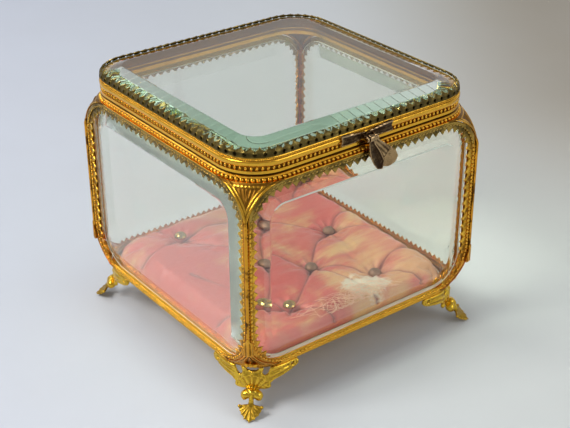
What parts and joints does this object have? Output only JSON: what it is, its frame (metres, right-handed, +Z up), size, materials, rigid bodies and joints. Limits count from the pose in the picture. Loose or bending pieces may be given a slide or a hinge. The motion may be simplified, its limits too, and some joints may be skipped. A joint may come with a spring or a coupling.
{
  "type": "glass casket box",
  "caption": "Square keepsake casket: bevelled glass panes in a gilt brass frame, hinged bevelled glass lid with a bow clasp, tufted satin cushion, cast feet.",
  "frame": {"origin": "centre of the plan at the level of the floor under the feet", "axes": "+Z up, -Y towards the clasp at the front, +Y towards the hinge at the back"},
  "size_m": [0.1486, 0.1494, 0.1361],
  "materials": {
    "gilt_brass": "stamped and cast brass, fire-gilt, burnished on the high places",
    "aged_brass": "stamped toothed strip, dark olive patina with bright edges",
    "side_glass": "clear polished plate with a bevelled edge",
    "lid_glass": "thick clear plate, wide bevel, aqua-green at the edge",
    "rose_satin": "worn silk satin, faded to cream in places",
    "card": "stiff card",
    "button_brass": "domed, worn",
    "dark_copper": "dark copper-brown patina, knurled",
    "spring_steel": "spring strip"
  },
  "bodies": {
    "casket": {"base_plate": "gilt_brass", "base_ring": "gilt_brass", "base_gallery": "gilt_brass", "front_glass": "side_glass", "right_glass": "side_glass", "back_glass": "side_glass", "left_glass": "side_glass", "front_bezel": "aged_brass", "right_bezel": "aged_brass", "back_bezel": "aged_brass", "left_bezel": "aged_brass", "front_left_post": "gilt_brass", "front_right_post": "gilt_brass", "back_right_post": "gilt_brass", "back_left_post": "gilt_brass", "upper_gussets": "gilt_brass", "lower_gussets": "gilt_brass", "corner_liners": "gilt_brass", "rim_frame": "gilt_brass", "rim_beading": "gilt_brass", "hinge_leaf_body": "gilt_brass", "hinge_pin": "gilt_brass", "clasp_catch": "gilt_brass", "cushion_board": "card", "cushion": "rose_satin", "cushion_buttons": "button_brass", "front_left_foot": "gilt_brass", "front_right_foot": "gilt_brass", "back_right_foot": "gilt_brass", "back_left_foot": "gilt_brass"},
    "lid": {"lid_frame": "gilt_brass", "lid_beading": "gilt_brass", "lid_gallery": "aged_brass", "lid_glass": "lid_glass", "hinge_leaf_lid": "gilt_brass", "clasp_bow": "dark_copper", "clasp_spring": "spring_steel", "clasp_pin": "dark_copper"},
    "clasp": {"clasp_tails": "dark_copper"}
  },
  "joints": [
    {"name": "lid_hinge", "type": "hinge", "parent": "casket", "child": "lid", "pos_m": [0, 0.0728, 0.123], "axis": [-1, 0, 0], "range_deg": [0, 100]},
    {"name": "clasp_pivot", "type": "hinge", "parent": "lid", "child": "clasp", "pos_m": [-0.002, -0.073, 0.1273], "axis": [-1, 0, 0], "range_deg": [0, 25], "stiffness_Nm_per_rad": 0.01, "springref_deg": -5.73}
  ]
}
